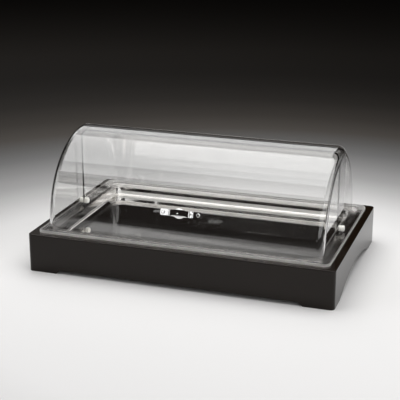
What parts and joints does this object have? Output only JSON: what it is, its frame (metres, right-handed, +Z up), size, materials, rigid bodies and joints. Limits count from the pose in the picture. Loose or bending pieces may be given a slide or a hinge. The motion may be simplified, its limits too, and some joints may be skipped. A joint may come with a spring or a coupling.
{
  "type": "refrigerated roll-top display",
  "caption": "Counter-top cooling display: a footed base with cool packs under a shallow tray, covered by a clear roll-top lid in two shells",
  "frame": {"origin": "middle of the footprint on the counter, at the bottom of the feet", "axes": "+X along the length, to the right as the customer faces the handle; -Y towards the customer; +Z up"},
  "size_m": [0.585, 0.37, 0.2425],
  "materials": {
    "black_plastic": "glossy moulded black plastic, faintly warm",
    "liner_plastic": "plain white thermoformed plastic",
    "foam": "white bead foam",
    "plate_plastic": "black textured plastic",
    "zinc_screws": "zinc-plated steel",
    "pad_rubber": "matt black rubber",
    "pack_plastic": "blue blow-moulded plastic",
    "plug_plastic": "white plastic",
    "polished_steel": "mirror-polished stainless steel",
    "clear_frame": "clear polycarbonate",
    "clear_pads": "clear silicone",
    "clear_shell": "clear polycarbonate",
    "bright_chrome": "bright chrome",
    "pivot_plastic": "white nylon"
  },
  "bodies": {
    "base": {"base_housing": "black_plastic", "well_liner": "liner_plastic", "foam_tub": "foam", "bottom_plate": "plate_plastic", "bottom_screws": "zinc_screws", "foot_pads": "pad_rubber"},
    "cool_pack_left": {"cool_pack_left": "pack_plastic", "pack_plug_left": "plug_plastic"},
    "cool_pack_right": {"cool_pack_right": "pack_plastic", "pack_plug_right": "plug_plastic"},
    "tray": {"display_tray": "polished_steel"},
    "cover": {"cover_frame": "clear_frame", "rest_pads": "clear_pads", "rear_shell": "clear_shell", "pivot_stud_left": "pivot_plastic", "pivot_stud_right": "pivot_plastic", "pivot_spacer_left": "pivot_plastic", "pivot_spacer_right": "pivot_plastic", "pivot_nut_left": "pivot_plastic", "pivot_nut_right": "pivot_plastic"},
    "roll_front": {"front_shell": "clear_shell", "pivot_bush_left": "pivot_plastic", "pivot_bush_right": "pivot_plastic", "handle": "bright_chrome", "handle_screws": "bright_chrome", "handle_nuts": "bright_chrome"}
  },
  "joints": [
    {"name": "cover_lift", "type": "slide", "parent": "base", "child": "cover", "axis": [0, 0, 1], "range_m": [0, 0.3]},
    {"name": "front_roll", "type": "hinge", "parent": "cover", "child": "roll_front", "pos_m": [0, 0, 0.0855], "axis": [-1, 0, 0], "range_deg": [0, 90]},
    {"name": "tray_lift", "type": "slide", "parent": "base", "child": "tray", "axis": [0, 0, 1], "range_m": [0, 0.15]},
    {"name": "pack_left_lift", "type": "slide", "parent": "base", "child": "cool_pack_left", "axis": [0, 0, 1], "range_m": [0, 0.06]},
    {"name": "pack_right_lift", "type": "slide", "parent": "base", "child": "cool_pack_right", "axis": [0, 0, 1], "range_m": [0, 0.06]}
  ],
  "couplings": [
    {"joint": "tray_lift", "follows": "cover_lift", "ratio": 0.5},
    {"joint": "pack_left_lift", "follows": "cover_lift", "ratio": 0.2},
    {"joint": "pack_right_lift", "follows": "cover_lift", "ratio": 0.2}
  ]
}
